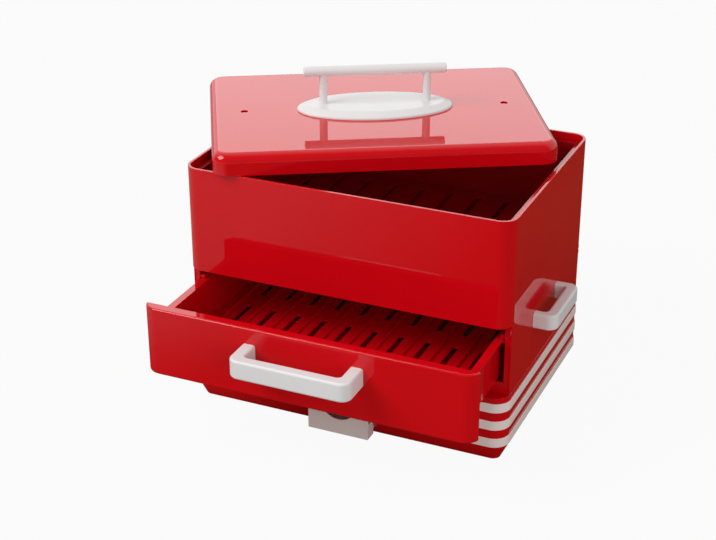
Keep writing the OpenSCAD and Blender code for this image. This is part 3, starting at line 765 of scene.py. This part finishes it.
class STEAMER_OT_lid_handle(Operator):
    """Oval plate, two posts and the bar on the lid"""

    bl_idname = "steamer.lid_handle"
    bl_label = "Lid handle"

    def execute(self, context):
        lid = context.scene.steamer_lid
        posts = bmesh.new()
        for side in (-1, 1):
            post = rod(lid.post, lid.rod_rise)
            bmesh.ops.translate(post, vec=(side * lid.post_place, 0, lid.plate_height), verts=post.verts)
            join(posts, post)
        bar = rod(lid.rod, lid.rod_length)
        round_off(bar, corners(bar), lid.handle_round, 4)
        end = Vector((-lid.rod_length / 2, 0, lid.plate_height + lid.rod_rise))
        laid = Matrix.Translation(end) @ Matrix.Rotation(math.radians(90), 4, "Y")
        bmesh.ops.transform(bar, matrix=laid, verts=bar.verts)
        seat = lid_place() @ Matrix.Translation((0, 0, lid.height))
        for bm, name, node in (
            (self.plate(lid), "lid_oval", "lid_handle_plate"),
            (posts, "lid_posts", "lid_handle_posts"),
            (bar, "lid_bar", "lid_handle_bar"),
        ):
            bmesh.ops.transform(bm, matrix=seat, verts=bm.verts)
            show(bm, name, node, "white_plastic")
        return {"FINISHED"}

    def plate(self, lid):
        """Oval plate with a sloping edge."""
        rise = lid.plate_height / 3
        bm = bmesh.new()
        ring = bmesh.ops.create_circle(bm, cap_ends=True, segments=128, radius=1)["verts"]
        bmesh.ops.scale(bm, vec=(lid.plate_length / 2, lid.plate_width / 2, 1), verts=ring)
        rim = bm.edges[:]
        for lift, shrink in ((rise, 0), (lid.plate_height - rise, lid.plate_bevel)):
            grown = bmesh.ops.extrude_edge_only(bm, edges=rim)["geom"]
            rim = [e for e in grown if isinstance(e, bmesh.types.BMEdge)]
            moved = [v for v in grown if isinstance(v, bmesh.types.BMVert)]
            bmesh.ops.translate(bm, vec=(0, 0, lift), verts=moved)
            narrow = (1 - 2 * shrink / lid.plate_length, 1 - 2 * shrink / lid.plate_width, 1)
            bmesh.ops.scale(bm, vec=narrow, verts=moved)
        rim = [e for e in rim if e.is_boundary]
        bmesh.ops.contextual_create(bm, geom=rim)
        bmesh.ops.recalc_face_normals(bm, faces=bm.faces)
        round_off(bm, corners(bm, lambda p: p.z > MM, 20), lid.handle_round, 4)
        return bm


class STEAMER_OT_works(Operator):
    """Tank, heater, controls and screws"""

    bl_idname = "steamer.works"
    bl_label = "Inner works"

    def execute(self, context):
        shells = context.scene.steamer_shells
        show(moulded("water_tank", shells.tray_round), "tank", "water_tank", "tank_aluminium")
        show(moulded("terminal_block", shells.small_round), "terminals", "terminal_block", "cream_plastic")
        dress("heater_plate", "tank_aluminium")
        dress("thermostat", "black_plastic")
        dress("heating_element", "steel")
        dress("thermal_fuse", "steel")
        for held in ("bottom", "housing", "side_handle", "drawer_handle", "lid_handle"):
            dress(held + "_screws", "steel")
        return {"FINISHED"}


class STEAMER_OT_stage(Operator):
    """Floor, lamps, surroundings and camera"""

    bl_idname = "steamer.stage"
    bl_label = "Stage"

    def execute(self, context):
        stage = context.scene.steamer_stage
        context.scene.view_settings.view_transform = "Standard"
        self.floor(context, stage)
        # Painted shade that only reflections show
        self.flag(context)
        self.surroundings(context, stage)
        self.lamp(
            context, "key_lamp", stage.key,
            where=(-1.9, -1.7, 2.4), target=(0, 0, 0.15), size=(1.8, 1.8),
        )
        fill = self.lamp(
            context, "fill_lamp", stage.fill,
            where=(2.0, -1.5, 0.95), target=(0, 0, 0.12), size=(1.6, 1.6),
        )
        fill.visible_glossy = False
        self.lamp(
            context, "back_lamp", stage.back,
            where=(-1.05, 2.45, 1.6), target=(-0.03, 0.04, 0.27), size=(2.4, 1.5),
        )
        self.camera(context, stage.lens)
        return {"FINISHED"}

    def seen(self, shade, camera_part, gloss_part):
        """Shares of plain white that camera and glass rays see, and that gloss sees."""
        outputs = ("Is Camera Ray", "Is Glossy Ray", "Is Transmission Ray")
        camera, gloss, glass = (shade.add("ShaderNodeLightPath", output=name) for name in outputs)
        return (camera + glass) * camera_part + gloss * gloss_part

    def sheet(self, context, name, half, middle):
        """Square sheet that lies level."""
        bm = bmesh.new()
        bmesh.ops.create_grid(bm, x_segments=1, y_segments=1, size=half)
        bmesh.ops.translate(bm, vec=middle, verts=bm.verts)
        mesh = bpy.data.meshes.new(name)
        bm.to_mesh(mesh)
        bm.free()
        sheet = bpy.data.objects.new(name, mesh)
        context.scene.collection.objects.link(sheet)
        return sheet

    def flag(self, context):
        """Painted shade that only reflections show: a dark sheet round the object and to its right, open at
        the left.
        """
        sheet = self.sheet(context, "flag", half=1.4, middle=(0.75, 0, 0.5 * MM))
        sheet.visible_camera = False
        sheet.visible_diffuse = False
        sheet.visible_shadow = False
        sheet.visible_transmission = False

        def build(shade):
            colour = context.scene.steamer_colours.flag
            grain = shade.noise(14, 3, (1, 0.12, 1))
            # Painted shade: the sheet's dark colour, varied at random
            shade_tone = shade.blend(grain, scaled(colour, 0.7), scaled(colour, 1.3))
            reflected_shade = shade.add("ShaderNodeBsdfDiffuse", None, {"Color": shade_tone})
            here = shade.add("ShaderNodeTexCoord", output="Object")
            across = shade.add("ShaderNodeSeparateXYZ", None, {0: here}, output="X")
            away = shade.add("ShaderNodeVectorMath", {"operation": "LENGTH"}, {0: here}, output="Value")
            # The painted shade clears only where the sheet is both left of the middle and more than 0.36 to
            # 0.5 m from it
            left = shade.slope(across, start=0.0, end=-0.3)
            opened = left * shade.slope(away, start=0.36, end=0.5)
            clear = shade.add("ShaderNodeBsdfTransparent")
            return shade.add("ShaderNodeMixShader", None, {0: opened, 1: reflected_shade, 2: clear})

        sheet.data.materials.append(finish_of("reflected_shade_sheet", build))

    def floor(self, context, stage):
        """Pale floor that looks white and keeps the shadow."""
        floor = self.sheet(context, "floor", half=6, middle=(0, 0, 0))

        def build(shade):
            colour = (*context.scene.steamer_colours.floor, 1)
            paper = shade.add("ShaderNodeBsdfDiffuse", None, {"Color": colour, "Roughness": 0.5})
            glow = shade.add("ShaderNodeEmission", None, {"Color": WHITE, "Strength": 1.0})
            shown = self.seen(shade, stage.floor_white, stage.floor_gloss)
            return shade.add("ShaderNodeMixShader", None, {0: shown, 1: paper, 2: glow})

        material = finish_of("floor_paper", build)
        material.cycles.emission_sampling = "NONE"
        floor.data.materials.append(material)

    def surroundings(self, context, stage):
        """Even light all round, and plain white to the camera, dimmer in gloss towards the front."""
        world = bpy.data.worlds.new("studio")
        context.scene.world = world
        world.use_nodes = True
        shade = Shade(world.node_tree)
        way = shade.add("ShaderNodeTexCoord", output="Generated")
        back = shade.add("ShaderNodeSeparateXYZ", None, {0: way}, output="Y")
        rear = shade.slope(back, start=-0.3, end=0.3)
        gloss = stage.front_gloss + (1 - stage.front_gloss) * rear
        strength = self.seen(shade, 1.0, gloss) + (1 - self.seen(shade, 1.0, 1.0)) * stage.ambient
        white = shade.add("ShaderNodeBackground", None, {"Color": WHITE, "Strength": strength})
        shade.add("ShaderNodeOutputWorld", None, {"Surface": white})

    def lamp(self, context, name, watts, where, target, size):
        """Soft lamp that looks at a point and isn't seen itself."""
        light = bpy.data.lights.new(name, "AREA")
        light.shape = "RECTANGLE"
        light.size, light.size_y = size
        light.energy = watts
        lamp = bpy.data.objects.new(name, light)
        context.scene.collection.objects.link(lamp)
        look = (Vector(target) - Vector(where)).to_track_quat("-Z", "Y")
        lamp.matrix_world = Matrix.Translation(where) @ look.to_matrix().to_4x4()
        lamp.visible_camera = False
        return lamp

    def camera(self, context, lens):
        """Camera at the photograph's place and angle."""
        data = bpy.data.cameras.new("camera")
        data.sensor_fit = "HORIZONTAL"
        data.sensor_width = 36
        data.lens = lens
        camera = bpy.data.objects.new("camera", data)
        context.scene.collection.objects.link(camera)
        yaw, pitch, roll = math.radians(-23.8262), math.radians(25.9756), math.radians(0.1178)
        stand = Vector((533.445, -1286.778, 800.274)) * MM
        ahead = math.cos(pitch)
        forward = Vector((math.sin(yaw) * ahead, math.cos(yaw) * ahead, -math.sin(pitch)))
        level = Vector((math.cos(yaw), -math.sin(yaw), 0))
        under = forward.cross(level)
        right = math.cos(roll) * level + math.sin(roll) * under
        down = math.cos(roll) * under - math.sin(roll) * level
        turned = Matrix((right, -down, -forward)).transposed().to_4x4()
        camera.matrix_world = Matrix.Translation(stand) @ turned
        context.scene.camera = camera


OPERATORS = (
    STEAMER_OT_base,
    STEAMER_OT_bands,
    STEAMER_OT_housing,
    STEAMER_OT_drawer,
    STEAMER_OT_handles,
    STEAMER_OT_trays,
    STEAMER_OT_lid,
    STEAMER_OT_lid_handle,
    STEAMER_OT_works,
    STEAMER_OT_stage,
)


class STEAMER_PT_panel(Panel):
    """Lists the pieces, their sizes and their colours"""

    bl_idname = "STEAMER_PT_panel"
    bl_label = "Steamer"
    bl_space_type = "VIEW_3D"
    bl_region_type = "UI"
    bl_category = "Steamer"

    def draw(self, context):
        for operator in OPERATORS:
            self.layout.operator(operator.bl_idname)
        for name, group in GROUPS.items():
            box = self.layout.box()
            for prop in group.__annotations__:
                box.prop(getattr(context.scene, name), prop)


GROUPS = {
    "steamer_shells": SteamerShells,
    "steamer_lid": SteamerLid,
    "steamer_handles": SteamerHandles,
    "steamer_colours": SteamerColours,
    "steamer_stage": SteamerStage,
}


def register():
    for group in GROUPS.values():
        bpy.utils.register_class(group)
    for name, group in GROUPS.items():
        setattr(bpy.types.Scene, name, PointerProperty(type=group))
    for operator in OPERATORS:
        bpy.utils.register_class(operator)
    bpy.utils.register_class(STEAMER_PT_panel)


def unregister():
    bpy.utils.unregister_class(STEAMER_PT_panel)
    for operator in reversed(OPERATORS):
        bpy.utils.unregister_class(operator)
    for name, group in GROUPS.items():
        delattr(bpy.types.Scene, name)
        bpy.utils.unregister_class(group)


def main():
    register()
    bpy.ops.steamer.base()
    bpy.ops.steamer.bands()
    bpy.ops.steamer.housing()
    bpy.ops.steamer.drawer()
    bpy.ops.steamer.handles()
    bpy.ops.steamer.trays()
    bpy.ops.steamer.lid()
    bpy.ops.steamer.lid_handle()
    bpy.ops.steamer.works()
    bpy.ops.steamer.stage()


if __name__ == "__main__":
    main()
